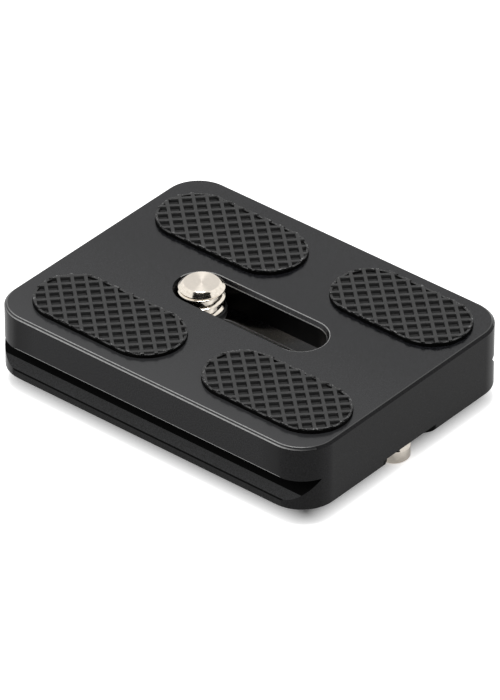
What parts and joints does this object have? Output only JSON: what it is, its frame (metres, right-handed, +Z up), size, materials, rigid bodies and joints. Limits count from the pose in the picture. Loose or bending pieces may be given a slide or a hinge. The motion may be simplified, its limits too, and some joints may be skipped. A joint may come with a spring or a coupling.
{
  "type": "tripod quick release plate",
  "caption": "Black aluminium dovetail plate with rubber waffle pads, a slot with a captive sliding camera screw, and stop pins underneath; it clamps a camera to a tripod head.",
  "frame": {"origin": "middle of the plate in plan, at the level of the table that the stop pins stand on", "axes": "+X along the dovetail and the slot, +Y across the plate, +Z up towards the camera"},
  "size_m": [0.05, 0.0384, 0.012],
  "materials": {
    "anodised_plate": "black anodised, fine satin",
    "pad_rubber": "moulded matte rubber",
    "screw_steel": "turned and bright",
    "washer_nylon": "black nylon",
    "ring_rubber": "smooth rubber",
    "pin_steel": "turned and bright"
  },
  "bodies": {
    "plate": {"plate_body": "anodised_plate", "pad_front_left": "pad_rubber", "pad_front_right": "pad_rubber", "pad_rear_left": "pad_rubber", "pad_rear_right": "pad_rubber", "stop_pin_left": "pin_steel", "stop_pin_right": "pin_steel"},
    "slider": {"retaining_ring": "ring_rubber"},
    "lifter": {"screw_washer": "washer_nylon"},
    "screw": {"camera_screw": "screw_steel"}
  },
  "joints": [
    {"name": "screw_slide", "type": "slide", "parent": "plate", "child": "slider", "axis": [1, 0, 0], "range_m": [0, 0.0154]},
    {"name": "screw_lift", "type": "slide", "parent": "slider", "child": "lifter", "axis": [0, 0, 1], "range_m": [0, 0.00435]},
    {"name": "screw_turn", "type": "hinge", "parent": "lifter", "child": "screw", "pos_m": [-0.0075, 0, 0.006], "axis": [0, 0, 1], "continuous": true}
  ]
}
